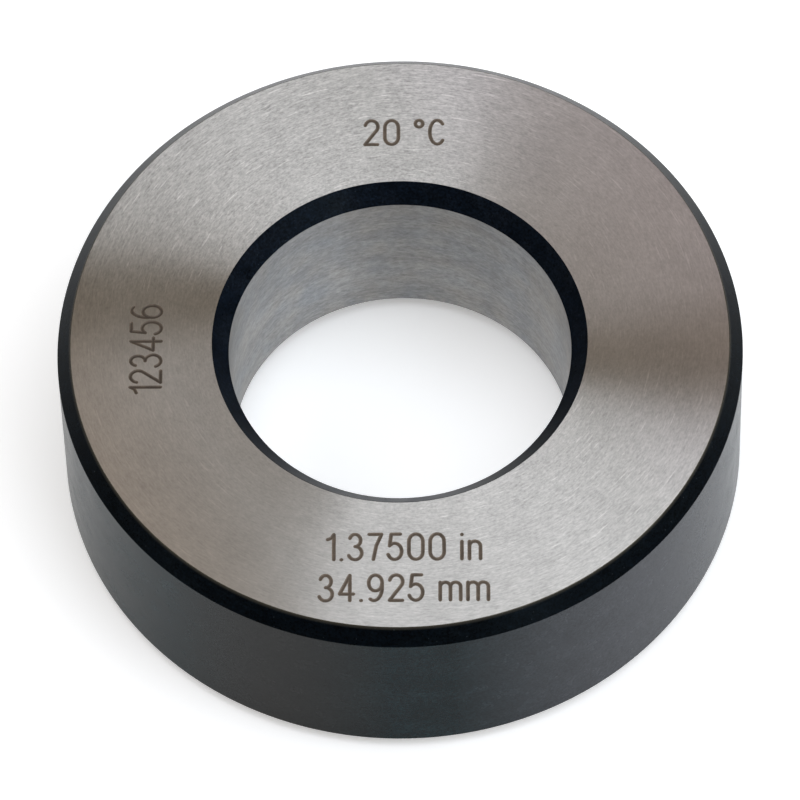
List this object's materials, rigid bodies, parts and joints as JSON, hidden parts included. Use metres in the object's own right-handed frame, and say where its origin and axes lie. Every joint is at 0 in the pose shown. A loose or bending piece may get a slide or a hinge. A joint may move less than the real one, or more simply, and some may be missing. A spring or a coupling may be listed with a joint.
{
  "type": "setting ring gauge",
  "caption": "Plain steel setting ring with a lapped through bore, parallel ground faces and blackened chamfers, used to set and check bore gauges.",
  "frame": {"origin": "on the bore's axis, at the lower ground face that the ring rests on", "axes": "+Z along the bore's axis, up through the marked face; -Y towards the side where the size is engraved"},
  "size_m": [0.0698, 0.0698, 0.0222],
  "materials": {
    "gauge_steel": "hardened steel, ground faces and lapped bore left bright, rim and chamfers black oxide"
  },
  "bodies": {
    "root": {"gauge_ring": "gauge_steel"}
  },
  "joints": []
}
